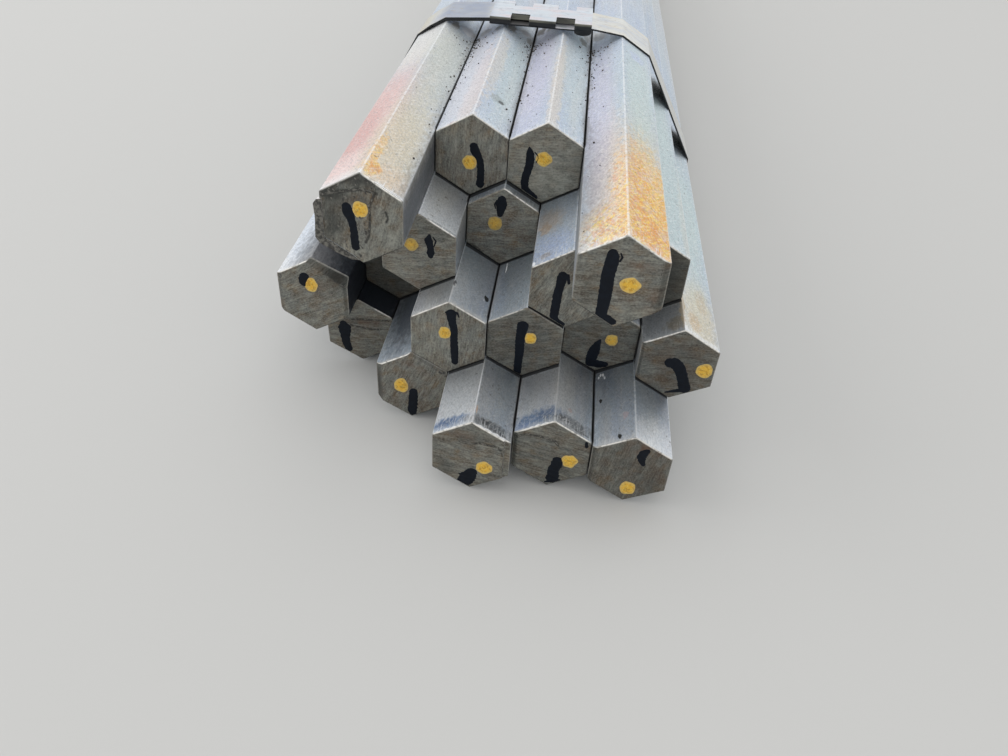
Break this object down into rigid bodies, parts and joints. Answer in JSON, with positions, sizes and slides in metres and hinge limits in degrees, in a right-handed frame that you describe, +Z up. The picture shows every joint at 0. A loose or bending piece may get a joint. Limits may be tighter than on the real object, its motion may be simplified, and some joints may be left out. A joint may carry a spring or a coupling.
{
  "type": "bundle of hexagonal steel bars",
  "caption": "Strapped bundle of drawn hexagonal steel bars, lying corner up in nested rows with staggered ends and crimped strap seals.",
  "frame": {"origin": "under the middle of the bundle, on the floor that the straps lie on", "axes": "+Y along the bars from the front ends in the picture to the back ends, +X to the right as seen from the front ends, +Z up"},
  "size_m": [0.1554, 3.1274, 0.1007],
  "materials": {
    "bar_steel": "cold-drawn steel bar with light surface rust, sawn ends and paint-marker dots and strokes",
    "strap_steel": "bright steel strapping with light handling marks",
    "seal_steel": "galvanised steel strapping seal, crimped"
  },
  "bodies": {
    "root": {"bar_row1_1": "bar_steel", "bar_row1_2": "bar_steel", "bar_row1_3": "bar_steel", "bar_row1_4": "bar_steel", "bar_row2_1": "bar_steel", "bar_row2_2": "bar_steel", "bar_row2_3": "bar_steel", "bar_row2_4": "bar_steel", "bar_row2_5": "bar_steel", "bar_row3_1": "bar_steel", "bar_row3_2": "bar_steel", "bar_row3_3": "bar_steel", "bar_row3_4": "bar_steel", "bar_row3_5": "bar_steel", "bar_row3_6": "bar_steel", "bar_row4_1": "bar_steel", "bar_row4_2": "bar_steel", "bar_row4_3": "bar_steel", "bar_row4_4": "bar_steel", "bar_row4_5": "bar_steel", "strap_front": "strap_steel", "strap_middle": "strap_steel", "strap_back": "strap_steel", "seal_front": "seal_steel", "seal_middle": "seal_steel", "seal_back": "seal_steel"}
  },
  "joints": []
}
